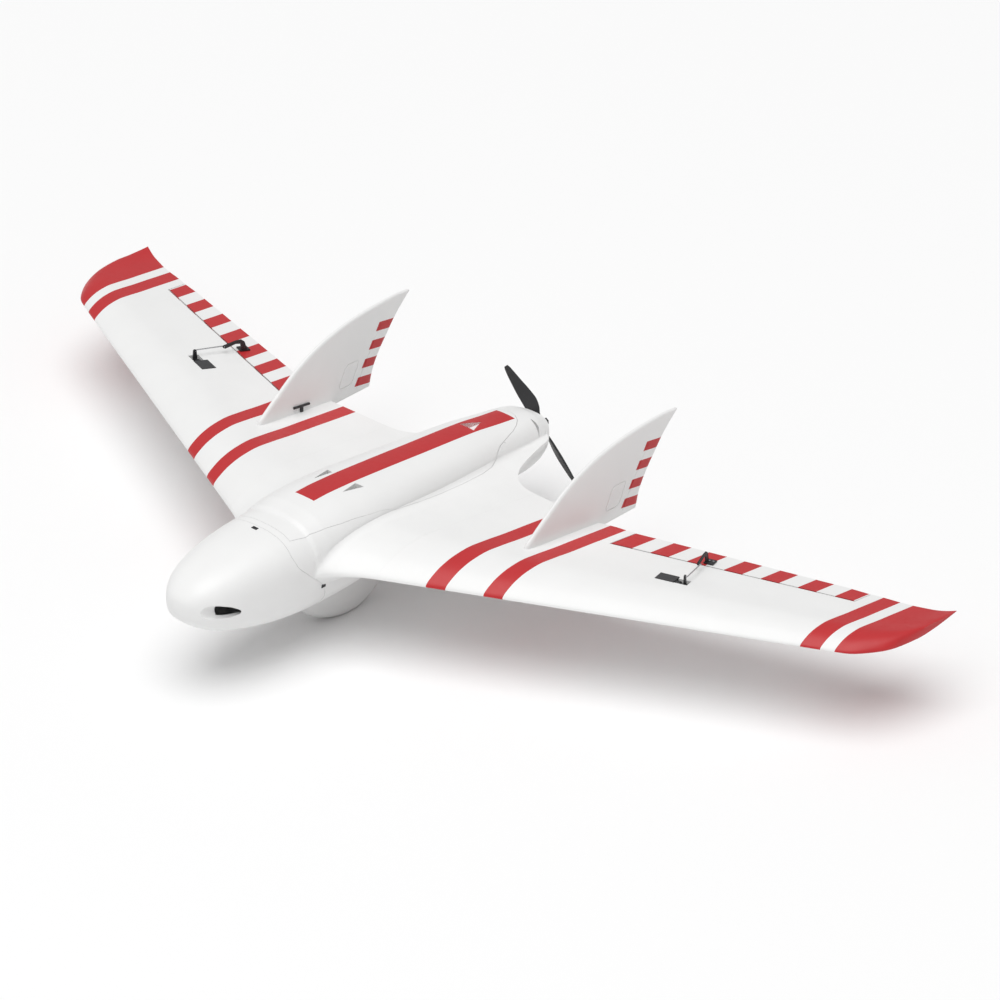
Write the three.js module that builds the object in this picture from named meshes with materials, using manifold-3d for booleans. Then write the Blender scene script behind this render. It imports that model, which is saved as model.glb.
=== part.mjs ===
// Small tail-less radio-control aircraft with a pusher propeller.
// Millimetres, +Z up, nose towards -Y, left wing towards +X.
// The shapes are drawn in a drafting frame whose origin is the wing's chord plane,
// and everything is moved at the end so that the origin is under the middle of the keel.
import * as THREE from "three";
import { mergeVertices } from "three/addons/utils/BufferGeometryUtils.js";
import Module from "manifold-3d";

const wasm = await Module();
wasm.setup();

// ---- driving dimensions -----------------------------------------------------------
const ORIGIN_Y = 72.1;
const KEEL_BOTTOM = -106.5;
const GAP = 0.3;
const WALL = 6.5;

const SWEEP = 0.489;
const SWEEP_START = 161.5;
const ROOT_X = 110;
const TIP_X = 608;
const WASH = -0.0068;

const HINGE_START = new THREE.Vector3(248.5, 194.3, 5.0);
const HINGE_END = new THREE.Vector3(515, 284.8, 0.8);
const ELEVON_IN = 248;
const ELEVON_OUT = 514;
const ELEVON_END_GAP = 1;
const HINGE_GAP = 0.45;
const BEVEL = 0.46;

const FIN_X = 200;
const FIN_THICK = 6;

const LINK_S = 108.2;
const ARM_N = -52.6;
const ARM_K = 2.3;
const ARM_REACH = 12;
const HORN_N = -15.6;
const HORN_K = 10.2;

const PROP_Y = 351;
const PROP_Z = -6.5;
const PROP_R = 75;
const PROP_ANGLE = 43.5;
const POD_BORE = 17.5;

const SPAR_Y = 82;
const SPAR_Z = 5.5;
const SPAR_R = 4;
const SPAR_HALF = 235;
const REAR_SPAR_Y = 178;
const REAR_SPAR_Z = -0.4;
const REAR_SPAR_R = 2;

// Fuselage stations: [y, half width, top z, bottom z].
const STATIONS = [
  [-217, 4, 3, -4], [-215.5, 12, 11, -10.5], [-210, 21.5, 18.5, -17], [-199, 31.5, 27.5, -25.5],
  [-182, 40.5, 35, -34], [-158, 48, 41, -42], [-130, 53, 46, -49], [-100, 56, 49, -54.5],
  [-60, 57, 50.8, -58], [-20, 56.5, 51, -58], [30, 55.5, 49.8, -55], [80, 53, 47.2, -50.5],
  [130, 50, 44, -46], [180, 46.5, 40.2, -43], [216, 43.5, 37.2, -41.7], [232, 42, 35.6, -41],
  [270, 38.5, 30.8, -40], [300, 35.5, 27.5, -39.5], [318, 32.5, 24.3, -37], [332, 28, 19, -32.5],
  [341, 22.5, 13.5, -27], [346, 17.9, 9, -22.5],
];
const SECTION_POWER = 2.7;
const SECTION_POINTS = 32;

// Aerofoil on the chord fraction: upper and lower surface height for a 217 mm chord.
const UPPER = [
  [0, -0.6], [0.012, 3.6], [0.045, 8.2], [0.11, 14.4], [0.2, 18.6], [0.29, 19.8],
  [0.42, 16.9], [0.55, 12.9], [0.7, 9.2], [0.85, 5.2], [1, 1.4],
];
const LOWER = [
  [1, -0.4], [0.85, -2.2], [0.65, -4.6], [0.45, -6.4], [0.27, -7.2], [0.12, -6.4],
  [0.04, -4.2], [0.01, -2.2],
];

// ---- solids and meshes ------------------------------------------------------------
const group = new THREE.Group();

const foam = { color: 0xf2f2f0, roughness: 0.45, metalness: 0 };
const foamEdge = { color: 0xe6e6e4, roughness: 0.5, metalness: 0 };
const black = { color: 0x2b2b2c, roughness: 0.45, metalness: 0 };
const graphite = { color: 0x3d3e40, roughness: 0.5, metalness: 0 };
const steel = { color: 0xb4b6b8, roughness: 0.35, metalness: 0.9 };
const carbon = { color: 0x1f2022, roughness: 0.4, metalness: 0.1 };

function solid(geometry) {
  const bare = geometry.clone();
  bare.deleteAttribute("normal");
  bare.deleteAttribute("uv");
  const merged = mergeVertices(bare, 1e-4);
  const vertProperties = Float32Array.from(merged.attributes.position.array);
  const triVerts = Uint32Array.from(merged.index.array);
  return new wasm.Manifold(new wasm.Mesh({ numProp: 3, vertProperties, triVerts }));
}

function geometryOf(manifold) {
  const mesh = manifold.getMesh();
  const geometry = new THREE.BufferGeometry();
  const positions = new Float32Array((mesh.vertProperties.length / mesh.numProp) * 3);
  for (let i = 0; i < positions.length / 3; i += 1) {
    for (let j = 0; j < 3; j += 1) {
      positions[3 * i + j] = mesh.vertProperties[mesh.numProp * i + j];
    }
  }
  geometry.setAttribute("position", new THREE.BufferAttribute(positions, 3));
  geometry.setIndex(new THREE.BufferAttribute(Uint32Array.from(mesh.triVerts), 1));
  return geometry;
}

function flipped(geometry) {
  const source = geometry.index ? geometry : mergeVertices(geometry);
  const index = source.index.array;
  for (let i = 0; i < index.length; i += 3) {
    const swap = index[i];
    index[i] = index[i + 1];
    index[i + 1] = swap;
  }
  return source;
}

function mirrored(geometry) {
  const copy = geometry.clone();
  copy.scale(-1, 1, 1);
  return flipped(copy);
}

function add(name, shape, look) {
  const geometry = shape.isBufferGeometry ? shape.clone() : geometryOf(shape);
  geometry.translate(0, -ORIGIN_Y, -KEEL_BOTTOM);
  geometry.computeVertexNormals();
  const mesh = new THREE.Mesh(geometry, new THREE.MeshStandardMaterial(look));
  mesh.name = name;
  group.add(mesh);
}

function addPair(name, shape, look) {
  const left = shape.isBufferGeometry ? shape : geometryOf(shape);
  add(`${name}_left`, left, look);
  add(`${name}_right`, mirrored(left), look);
}

// A closed skin over rings of points, with a fan at each end.
function loft(rings) {
  const count = rings[0].length;
  const points = rings.flat();
  const index = [];
  for (let i = 0; i + 1 < rings.length; i += 1) {
    for (let j = 0; j < count; j += 1) {
      const a = i * count + j;
      const b = i * count + ((j + 1) % count);
      index.push(a, b, b + count, a, b + count, a + count);
    }
  }
  [0, rings.length - 1].forEach((ring, end) => {
    const centre = new THREE.Vector3();
    rings[ring].forEach((p) => centre.addScaledVector(p, 1 / count));
    const hub = points.length;
    points.push(centre);
    for (let j = 0; j < count; j += 1) {
      const a = ring * count + j;
      const b = ring * count + ((j + 1) % count);
      index.push(hub, end ? a : b, end ? b : a);
    }
  });
  const geometry = new THREE.BufferGeometry().setFromPoints(points);
  geometry.setIndex(index);
  return volumeOf(geometry) < 0 ? flipped(geometry) : geometry;
}

function volumeOf(geometry) {
  const position = geometry.attributes.position;
  const [a, b, c] = [new THREE.Vector3(), new THREE.Vector3(), new THREE.Vector3()];
  let volume = 0;
  for (let i = 0; i < geometry.index.count; i += 3) {
    a.fromBufferAttribute(position, geometry.index.getX(i));
    b.fromBufferAttribute(position, geometry.index.getX(i + 1));
    c.fromBufferAttribute(position, geometry.index.getX(i + 2));
    volume += a.dot(b.cross(c)) / 6;
  }
  return volume;
}

function box(x0, x1, y0, y1, z0, z1) {
  const geometry = new THREE.BoxGeometry(x1 - x0, y1 - y0, z1 - z0);
  return geometry.translate((x0 + x1) / 2, (y0 + y1) / 2, (z0 + z1) / 2);
}

function outline(points) {
  return new THREE.Shape(points.map(([u, v]) => new THREE.Vector2(u, v)));
}

// Extrudes an outline drawn in (y, z) along X.
function alongX(points, x0, x1) {
  const geometry = new THREE.ExtrudeGeometry(outline(points), { depth: x1 - x0, bevelEnabled: false });
  const frame = new THREE.Matrix4();
  frame.makeBasis(new THREE.Vector3(0, 1, 0), new THREE.Vector3(0, 0, 1), new THREE.Vector3(1, 0, 0));
  return geometry.applyMatrix4(frame).translate(x0, 0, 0);
}

// Extrudes an outline drawn in (x, y) along Z.
function alongZ(points, z0, z1) {
  const geometry = new THREE.ExtrudeGeometry(outline(points), { depth: z1 - z0, bevelEnabled: false });
  return geometry.translate(0, 0, z0);
}

function rodY(r, y0, y1, x = 0, z = PROP_Z, sides = 28) {
  return new THREE.CylinderGeometry(r, r, y1 - y0, sides).translate(x, (y0 + y1) / 2, z);
}

function rodX(r, x0, x1, y, z, sides = 20) {
  return new THREE.CylinderGeometry(r, r, x1 - x0, sides).rotateZ(Math.PI / 2).translate((x0 + x1) / 2, y, z);
}

// ---- fuselage ---------------------------------------------------------------------
function fuselageRing([y, half, top, bottom], inset) {
  const middle = (top + bottom) / 2;
  const tall = (top - bottom) / 2 - inset;
  const wide = half - inset;
  const ring = [];
  for (let i = 0; i < SECTION_POINTS; i += 1) {
    const t = (2 * Math.PI * (i + 0.5)) / SECTION_POINTS;
    const c = Math.cos(t);
    const s = Math.sin(t);
    const x = wide * Math.sign(c) * Math.abs(c) ** (2 / SECTION_POWER);
    const z = middle + tall * Math.sign(s) * Math.abs(s) ** (2 / SECTION_POWER);
    ring.push(new THREE.Vector3(x, y, z));
  }
  return ring;
}

const outer = solid(loft(STATIONS.map((station) => fuselageRing(station, 0))));
const innerStations = STATIONS.filter(([y]) => y > -195 && y < 225);
const inner = solid(loft(innerStations.map((station) => fuselageRing(station, WALL))));

// Joint between the nose and the body, in (y, z): upright at the top, raked at the side.
const NOSE_JOINT = [[-92, 90], [-92, 30], [-87, 17], [-71, 1], [-50.5, -18.5], [-46, -34], [-46, -95]];
function noseSide(shift) {
  const line = NOSE_JOINT.map(([y, z]) => [y + shift, z]);
  return solid(alongX([[-260, 90], [-260, -95], ...line.reverse()], -90, 90));
}

// Lower edge of the hatch, in (y, z), and its outline from above, in (x, y).
const HATCH_EDGE = [
  [-83, 42], [-45, 37], [-15, 33], [24, 28], [60, 24], [95, 18], [130, 12], [174, 5.5], [205, 1],
  [226, 3], [247, 13], [275, 16], [300, 17],
];
const HATCH_PLAN = [
  [38, -83], [45, -45], [47.5, -15], [50, 24], [51, 60], [51, 95], [50, 130], [48, 174], [46, 205],
  [43.2, 225], [39, 236], [35, 247], [31, 261], [27, 275], [20, 287], [10, 296], [0, 298.8],
];
function hatchRegion(grow) {
  const edge = HATCH_EDGE.map(([y, z]) => [y, z - grow]);
  edge[0][0] -= grow;
  const side = alongX([...edge, [340, 17 - grow], [340, 90], [-83 - grow, 90]], -80, 80);
  const right = HATCH_PLAN.map(([x, y]) => [x + grow, y > 0 ? y + grow : y - grow]);
  const left = right.slice(0, -1).reverse().map(([x, y]) => [-x, y]);
  return solid(side).intersect(solid(alongZ([...right, ...left], -60, 100)));
}

// ---- wing -------------------------------------------------------------------------
const TE_LINE = [
  [0, 222], [200, 222], [218.4, 228.9], [249.7, 234.5], [269.2, 240.6], [491, 305], [513.5, 310],
  [529, 315], [548, 319.3], [562.7, 323.6], [590, 334.5], [606.5, 341.8],
];
const TIP_LE = [[562, 196], [576, 204], [590, 220], [601, 240], [606, 267], [TIP_X, 292]];

function along(table, x) {
  const i = Math.min(Math.max(table.findIndex(([u]) => u >= x), 1), table.length - 1);
  const [x0, y0] = table[i - 1];
  const [x1, y1] = table[i];
  return y0 + ((y1 - y0) * (x - x0)) / (x1 - x0);
}

function leadingEdge(x) {
  return x < 562 ? SWEEP * (x - SWEEP_START) : along(TIP_LE, x);
}

function wingRing(x, front = leadingEdge(x), rear = along(TE_LINE, Math.min(x, 606.5)), up = 1, down = 1) {
  const chord = rear - front;
  const size = chord / 217;
  const curl = x > 580 ? 5 * ((x - 580) / 28) ** 2 : 0;
  const drop = WASH * Math.max(x - 110, 0);
  return [...UPPER, ...LOWER].map(([u, z], i) => {
    const gain = i < UPPER.length ? up : down;
    return new THREE.Vector3(x, front + u * chord, z * size * gain + drop + curl * u * u);
  });
}

const WING_X = [ROOT_X + 0.2, 150, 200, 245, 300, 400, 515, 548, 562, 576, 590, 598, 603, 606, 607.4];
const wingSkin = solid(loft(WING_X.map((x) => wingRing(x))));

// The wing root swells into the fuselage: [x, front, rear, upper gain, lower gain].
const ROOT = [
  [20, -92, 322, 0.6, 2.2],
  [40, -80, 316, 0.62, 2.1],
  [46, -76, 298, 0.65, 2],
  [53, -69, 274, 0.7, 1.8],
  [60, -62, 255, 0.74, 1.55],
  [67, -55, 243, 0.8, 1.4],
  [75, -48, 234, 0.86, 1.27],
  [84, -41, 228, 0.9, 1.17],
  [96, -32.5, 223.5, 0.96, 1.06],
  [ROOT_X - 0.2, leadingEdge(ROOT_X), 222, 0.985, 1],
];
const rootLeft = loft(ROOT.map(([x, front, rear, up, down]) => wingRing(x, front, rear, up, down)));
const centreWing = solid(rootLeft).add(solid(mirrored(rootLeft))).add(solid(box(-21, 21, -60, 240, -20, 20)));

// Hinge frame of the left elevon: h runs outboard, n runs aft and k runs up.
const h = HINGE_END.clone().sub(HINGE_START).normalize();
const n = new THREE.Vector3(-h.y, h.x, 0).normalize();
const k = new THREE.Vector3().crossVectors(h, n);

function atHinge(geometry) {
  const frame = new THREE.Matrix4().makeBasis(n, k, h);
  return geometry.applyMatrix4(frame).translate(HINGE_START.x, HINGE_START.y, HINGE_START.z);
}

// Extrudes an outline drawn in (n, k) along the hinge from s0 to s1.
function alongHinge(points, s0, s1) {
  const geometry = new THREE.ExtrudeGeometry(outline(points), { depth: s1 - s0, bevelEnabled: false });
  return atHinge(geometry.translate(0, 0, s0));
}

function rodHinge(r, s0, s1, atN, atK, sides = 16) {
  const geometry = new THREE.CylinderGeometry(r, r, s1 - s0, sides).rotateX(Math.PI / 2);
  return atHinge(geometry.translate(atN, atK, (s0 + s1) / 2));
}

function boxHinge(n0, n1, k0, k1, s0, s1) {
  return atHinge(box(n0, n1, k0, k1, s0, s1));
}

const elevonFront = [[HINGE_GAP, 20], [HINGE_GAP, 0], [HINGE_GAP + BEVEL * 20, -20]];
const elevonBlock = solid(alongHinge([...elevonFront, [90, -20], [90, 20]], -60, 340));
const elevonBay = solid(alongHinge([[-HINGE_GAP, 20], [-HINGE_GAP, -20], [95, -20], [95, 20]], -60, 340));
const elevonSpan = (extra) => solid(box(ELEVON_IN - extra, ELEVON_OUT + extra, 100, 400, -30, 40));
const elevonSolid = wingSkin.intersect(elevonBlock).intersect(elevonSpan(0));
const elevonCut = elevonBay.intersect(elevonSpan(ELEVON_END_GAP));

// ---- fin --------------------------------------------------------------------------
const FIN_EDGE = [
  [109.6, 16], [121, 26], [145, 43.5], [170, 60], [197, 73], [223, 81.5], [256, 88],
  [290, 91.3], [326, 92.6], [353.6, 90.4], [329, 67.1], [313.4, 47.5], [300.5, 30.4],
  [290.2, 11], [285.3, -6.4], [222, -6.4], [196, 0.5], [150, 8], [109, 11.5],
];
function finSolid(grow) {
  const middle = [230, 40];
  const points = FIN_EDGE.map(([y, z]) => [
    y + grow * Math.sign(y - middle[0]),
    z + grow * Math.sign(z - middle[1]),
  ]);
  return solid(alongX(points, FIN_X - FIN_THICK / 2 - grow, FIN_X + FIN_THICK / 2 + grow));
}

// ---- keel -------------------------------------------------------------------------
const KEEL_Y = 36;
function keelSolid(grow) {
  const rings = [];
  const levels = [-52 + grow, -60, -70, -80, -89, -96, -101, -105.2];
  levels.forEach((z) => {
    const drop = Math.min((-50 - z) / 57.5, 1);
    const spread = Math.sqrt(1 - drop * drop);
    const width = 4 + 8.5 * Math.sqrt(spread);
    const ring = [];
    for (let i = 0; i < 24; i += 1) {
      const t = (2 * Math.PI * (i + 0.5)) / 24;
      const reach = Math.cos(t) > 0 ? 66 : 74;
      const y = KEEL_Y + (reach * spread + 4 + grow) * Math.sign(Math.cos(t)) * Math.abs(Math.cos(t)) ** 0.9;
      const x = (width + grow) * Math.sign(Math.sin(t)) * Math.abs(Math.sin(t)) ** 0.8;
      ring.push(new THREE.Vector3(x, y, z));
    }
    rings.push(ring);
  });
  return solid(loft(rings));
}

// Height of the wing skin in the hinge frame at (s, n).
function skinK(s, atN, upper = true) {
  const at = HINGE_START.clone().addScaledVector(h, s).addScaledVector(n, atN);
  const front = leadingEdge(at.x);
  const chord = along(TE_LINE, at.x) - front;
  const u = (at.y - front) / chord;
  const profile = upper ? UPPER : [...LOWER].reverse();
  return (along(profile, u) * chord) / 217 + WASH * (at.x - 110) - (HINGE_START.z + h.z * s);
}

// A plate that follows the wing skin from n0 to n1, between two heights above it.
function skinPlate(s0, s1, n0, n1, low, high, upper = true) {
  const middle = (s0 + s1) / 2;
  const [a, b] = [skinK(middle, n0, upper), skinK(middle, n1, upper)];
  return alongHinge([[n0, a + low], [n1, b + low], [n1, b + high], [n0, a + high]], s0, s1);
}

// ---- openings ---------------------------------------------------------------------
const sparBore = solid(rodX(SPAR_R + GAP, -SPAR_HALF - 1, SPAR_HALF + 1, SPAR_Y, SPAR_Z));
const rearSparBore = solid(rodX(REAR_SPAR_R + GAP, -SPAR_HALF - 1, SPAR_HALF + 1, REAR_SPAR_Y, REAR_SPAR_Z));
const podBore = solid(rodY(POD_BORE, 262, 350));

// Air inlet through the side of the nose.
function noseInlet(side) {
  const tube = new THREE.CylinderGeometry(5.5, 6.5, 30, 20).scale(1, 1, 0.8);
  return solid(tube.rotateZ(side * -0.5).translate(side * 37.5, -184, -2));
}

// Air slot across the shoulder of the motor pod.
function podSlot(side) {
  const cut = new THREE.BoxGeometry(24, 4.5, 16).rotateY(side * 0.95);
  return solid(cut.translate(side * 27, 311, 10));
}

// Air intake beside the spine, a triangle seen from above.
function spineVent(side) {
  const shape = [[side * 25.5, 16], [side * 29.6, 42], [side * 21.4, 42]];
  return solid(alongZ(side > 0 ? shape : shape.reverse(), 36, 60));
}

// Small dark catch plates let into the foam: [name, x, y, z, half width, half length].
const CATCHES = [
  ["nose_catch_top", 0, -97, 47.7, 3.6, 2],
  ["nose_catch_left", 54.8, -51.5, -18.5, 2, 3],
  ["nose_catch_right", -54.8, -51.5, -18.5, 2, 3],
  ["hatch_catch_left", 33.5, 253, 21, 2, 3],
  ["hatch_catch_right", -33.5, 253, 21, 2, 3],
];
function catchBlock([, x, y, z, wide, long], grow) {
  return box(x - wide - grow, x + wide + grow, y - long - grow, y + long + grow, z - 2 - grow, z + 2 + grow);
}
const catchPockets = CATCHES.map((entry) => solid(catchBlock(entry, GAP))).reduce((a, b) => a.add(b));

// ---- foam pieces ------------------------------------------------------------------
const nose = outer
  .intersect(noseSide(-GAP / 2))
  .subtract(inner)
  .subtract(noseInlet(1))
  .subtract(noseInlet(-1))
  .subtract(catchPockets);

const body = outer
  .add(centreWing)
  .subtract(noseSide(GAP / 2))
  .subtract(hatchRegion(GAP))
  .subtract(inner)
  .subtract(podBore)
  .subtract(podSlot(1))
  .subtract(podSlot(-1))
  .subtract(keelSolid(GAP))
  .subtract(sparBore)
  .subtract(rearSparBore)
  .subtract(catchPockets);

const hatch = outer
  .intersect(hatchRegion(0))
  .subtract(inner)
  .subtract(spineVent(1))
  .subtract(spineVent(-1))
  .subtract(catchPockets);

const SERVO_S = LINK_S - 22;
const SERVO_N = ARM_N + 2;
const SERVO_FLOOR = -6.4;
const coverWell = skinPlate(SERVO_S - 11.3, SERVO_S + 11.3, SERVO_N - 8.7, SERVO_N + 8.7, -1.6, 12);
const caseWell = boxHinge(SERVO_N - 6.3, SERVO_N + 6.3, SERVO_FLOOR - GAP, 9, SERVO_S - 11.3, SERVO_S + 11.3);
const armWell = boxHinge(ARM_N - 6.2, ARM_N + 6.2, ARM_K - 5.2, 30, SERVO_S + 10.2, SERVO_S + 26);

const wing = wingSkin
  .subtract(elevonCut)
  .subtract(finSolid(GAP))
  .subtract(solid(coverWell))
  .subtract(solid(caseWell))
  .subtract(solid(armWell))
  .subtract(sparBore)
  .subtract(rearSparBore);

add("body_shell", body, foam);
add("nose_cone", nose, foam);
add("hatch", hatch, foam);
addPair("wing", wing, foam);
addPair("elevon", elevonSolid, foam);
addPair("fin", finSolid(0), foam);
add("belly_keel", keelSolid(0), foamEdge);
add("keel_skid", alongZ([[-3.4, 12], [3.4, 12], [3.4, 62], [-3.4, 62]], KEEL_BOTTOM, -105.5), graphite);
CATCHES.forEach((entry) => add(entry[0], catchBlock(entry, 0), black));

// T-shaped clip on the inboard face of each fin's root.
const clipX = FIN_X - FIN_THICK / 2 - GAP;
const CLIP = [
  [162, 17], [162, 14.6], [172.6, 13.1], [172.6, 6], [176.4, 6], [176.4, 12.6], [187, 11.1], [187, 13.5],
];
const clip = solid(alongX(CLIP, clipX - 1.6, clipX));
addPair("fin_clip", clip.subtract(wingSkin.translate([0, 0, GAP])), black);

// ---- elevon drive -----------------------------------------------------------------
const servoCase = solid(boxHinge(SERVO_N - 6, SERVO_N + 6, SERVO_FLOOR, 3.2, SERVO_S - 11, SERVO_S + 11))
  .add(solid(rodHinge(4.4, SERVO_S + 10.8, SERVO_S + 16, ARM_N, ARM_K)))
  .add(solid(rodHinge(2.3, SERVO_S + 15, SERVO_S + 18.8, ARM_N, ARM_K)));
addPair("servo_case", servoCase, black);
const cover = skinPlate(SERVO_S - 11, SERVO_S + 10.4, SERVO_N - 8.4, SERVO_N + 8.4, -1.3, 0.5);
addPair("servo_cover", cover, graphite);

const armS = LINK_S - 1.8;
const ARM_SIDE = [
  [ARM_N - 2.8, ARM_K],
  [ARM_N + 2.8, ARM_K],
  [ARM_N + 2, ARM_K + ARM_REACH],
  [ARM_N - 2, ARM_K + ARM_REACH],
];
const arm = solid(rodHinge(3.3, armS - 1, armS + 2.4, ARM_N, ARM_K))
  .add(solid(alongHinge(ARM_SIDE, armS, armS + 1.6)))
  .add(solid(rodHinge(2, armS, armS + 1.6, ARM_N, ARM_K + ARM_REACH)))
  .subtract(solid(rodHinge(0.9, armS - 1, armS + 4, ARM_N, ARM_K + ARM_REACH, 12)));
addPair("servo_arm", arm, black);
addPair("arm_screw", rodHinge(1.8, armS + 2.7, armS + 3.8, ARM_N, ARM_K, 12), steel);

// Pushrod: a wire with a cranked pin at the arm and another at the horn.
const rodS = LINK_S + 1.3;
const rodStart = new THREE.Vector2(ARM_N, ARM_K + ARM_REACH);
const rodEnd = new THREE.Vector2(HORN_N, HORN_K);
const reach = rodEnd.clone().sub(rodStart);
const wire = new THREE.CylinderGeometry(0.75, 0.75, reach.length() + 1.5, 10);
wire.rotateZ(reach.angle() - Math.PI / 2);
wire.translate((rodStart.x + rodEnd.x) / 2, (rodStart.y + rodEnd.y) / 2, rodS);
const pushrod = solid(atHinge(wire))
  .add(solid(rodHinge(0.55, armS - 0.6, rodS, rodStart.x, rodStart.y, 10)))
  .add(solid(rodHinge(0.55, LINK_S - 0.1, rodS, rodEnd.x, rodEnd.y, 10)));
addPair("pushrod", pushrod, steel);

// Control horn: a base on the elevon, a mast, and a leg that reaches forward over the hinge.
const hornS = LINK_S - 2;
const HORN_SIDE = [
  [5.2, 0.4], [12.4, -0.4], [9.2, 11], [5.6, 14.2], [-1, 14.6],
  [HORN_N - 1.4, HORN_K + 2], [HORN_N - 2.1, HORN_K - 0.6], [HORN_N + 0.6, HORN_K - 2.1],
  [-2, 10.8], [4, 9.6],
];
const horn = solid(alongHinge(HORN_SIDE, hornS, hornS + 1.6))
  .subtract(solid(rodHinge(0.9, hornS - 1, hornS + 3, HORN_N, HORN_K, 12)))
  .add(solid(skinPlate(hornS - 1, hornS + 10, 3.4, 15.4, GAP, 1.8)));
addPair("control_horn", horn, black);
addPair("horn_backplate", skinPlate(hornS - 1, hornS + 10, 5, 15, -1.4, -GAP, false), black);
for (const [label, at] of [["inner", hornS + 3.6], ["outer", hornS + 8]]) {
  const top = skinK(at, 9.4) + 2.1;
  addPair(`horn_screw_${label}`, alongHingeUp(at, 9.4, top, top + 0.9), steel);
}

// A short upright cylinder in the hinge frame.
function alongHingeUp(s, atN, k0, k1) {
  return atHinge(new THREE.CylinderGeometry(1.1, 1.1, k1 - k0, 10).translate(atN, (k0 + k1) / 2, s));
}

// ---- motor and propeller ----------------------------------------------------------
const MOUNT_Y = 262.4;
const mountHoles = [45, 135, 225, 315].map((angle) => {
  const a = THREE.MathUtils.degToRad(angle);
  return [8 * Math.cos(a), PROP_Z + 8 * Math.sin(a)];
});
let mountPlate = solid(rodY(16.5, MOUNT_Y, MOUNT_Y + 3));
mountHoles.forEach(([x, z]) => {
  mountPlate = mountPlate.subtract(solid(rodY(1.6, MOUNT_Y - 1, MOUNT_Y + 4, x, z, 12)));
});
add("motor_mount", mountPlate, black);
const statorBase = MOUNT_Y + 3.3;
const statorFoot = solid(rodY(12, statorBase, statorBase + 3));
let stator = statorFoot.add(solid(rodY(9.6, statorBase + 3, statorBase + 22)));
stator = stator.subtract(solid(rodY(2.6, statorBase - 1, statorBase + 30)));
mountHoles.forEach(([x, z]) => {
  stator = stator.subtract(solid(rodY(1.6, statorBase - 1, statorBase + 4, x, z, 12)));
});
add("motor_stator", stator, { color: 0x8a5a32, roughness: 0.4, metalness: 0.7 });
mountHoles.forEach(([x, z], i) => {
  add(`mount_screw_${i + 1}`, rodY(1.2, MOUNT_Y + 0.4, statorBase + 2.6, x, z, 10), steel);
});

const bellStart = statorBase + 3.6;
const bellEnd = 312;
const bell = solid(rodY(14, bellStart, bellEnd))
  .subtract(solid(rodY(10.4, bellStart - 1, statorBase + 22.6)))
  .subtract(solid(rodY(2.3, 260, 350)));
add("motor_bell", bell, { color: 0x55585c, roughness: 0.35, metalness: 0.85 });
add("motor_shaft", rodY(2, statorBase + 1, 361.2, 0, PROP_Z, 16), steel);
const collar = solid(rodY(6.5, bellEnd + 0.3, 347.2, 0, PROP_Z, 24)).subtract(solid(rodY(2.3, 300, 350)));
add("prop_collar", collar, steel);

// Blade sections from the hub to the tip: [radius, chord, pitch in degrees, lead].
const BLADE = [
  [4, 9, 34, 0], [10, 10.5, 36, 0.5], [18, 15, 33, 2], [28, 17.6, 28, 2.6], [40, 16.6, 22, 1.8],
  [52, 13.8, 18, 0.8], [64, 10.6, 15, 0], [72, 7.6, 13, -0.4], [PROP_R, 5, 12, -0.6],
];
const FOIL = [
  [-0.5, 0], [-0.3, 0.09], [0, 0.12], [0.3, 0.08], [0.5, 0], [0.25, -0.03], [0, -0.05], [-0.3, -0.04],
];
function bladeSolid() {
  const rings = BLADE.map(([r, chord, pitch, lead]) => {
    const a = THREE.MathUtils.degToRad(pitch);
    return FOIL.map(([u, v]) => {
      const across = u * chord + lead;
      const thick = v * chord * 1.1;
      const x = across * Math.cos(a) - thick * Math.sin(a);
      const y = across * Math.sin(a) + thick * Math.cos(a);
      return new THREE.Vector3(x, y, r);
    });
  });
  return loft(rings);
}
const blade = bladeSolid();
const twoBlades = solid(blade).add(solid(blade.clone().rotateY(Math.PI)));
const turned = twoBlades.rotate([0, -PROP_ANGLE, 0]).translate([0, PROP_Y, PROP_Z]);
const propHub = solid(rodY(6.6, PROP_Y - 3.5, PROP_Y + 3.5));
const propeller = turned.add(propHub).subtract(solid(rodY(2.3, 340, 360)));
add("propeller", propeller, { color: 0x37383a, roughness: 0.5, metalness: 0 });
const shaftHole = solid(rodY(2.3, 340, 364));
const nut = (y0, y1, r, sides) => solid(rodY(r, y0, y1, 0, PROP_Z, sides)).subtract(shaftHole);
add("prop_washer", nut(PROP_Y + 3.8, PROP_Y + 4.8, 5, 24), steel);
add("prop_nut", nut(PROP_Y + 5.1, PROP_Y + 9.5, 4.3, 6), black);

// ---- equipment inside -------------------------------------------------------------
add("spar_tube_main", solid(rodX(SPAR_R, -SPAR_HALF, SPAR_HALF, SPAR_Y, SPAR_Z)), carbon);
add("spar_tube_rear", solid(rodX(REAR_SPAR_R, -SPAR_HALF, SPAR_HALF, REAR_SPAR_Y, REAR_SPAR_Z)), carbon);
const wood = { color: 0xc9a878, roughness: 0.7, metalness: 0 };
add("equipment_tray", box(-18, 18, -78, 44, -43.6, -42), wood);
add("battery", box(-17, 17, -60, 42, -41.7, -15), { color: 0x2f4f7a, roughness: 0.5, metalness: 0 });
const strap = solid(box(-19, 19, -16, 4, -41.7, -13)).subtract(solid(box(-17.3, 17.3, -20, 8, -50, -14.7)));
add("battery_strap", strap, { color: 0x202022, roughness: 0.9, metalness: 0 });
add("equipment_shelf", alongZ([[-34, 90], [34, 90], [26, 190], [-26, 190]], -25, -22.3), wood);
add("flight_controller", box(-18, 18, 94, 130, -22, -12), { color: 0x1d5a3c, roughness: 0.6, metalness: 0 });
add("receiver", box(-25, -3, 138, 178, -22, -10), { color: 0x39393b, roughness: 0.5, metalness: 0 });
add("speed_controller", box(3, 25, 138, 180, -22, -14), { color: 0x1d3f66, roughness: 0.5, metalness: 0.1 });

export default group;
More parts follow.
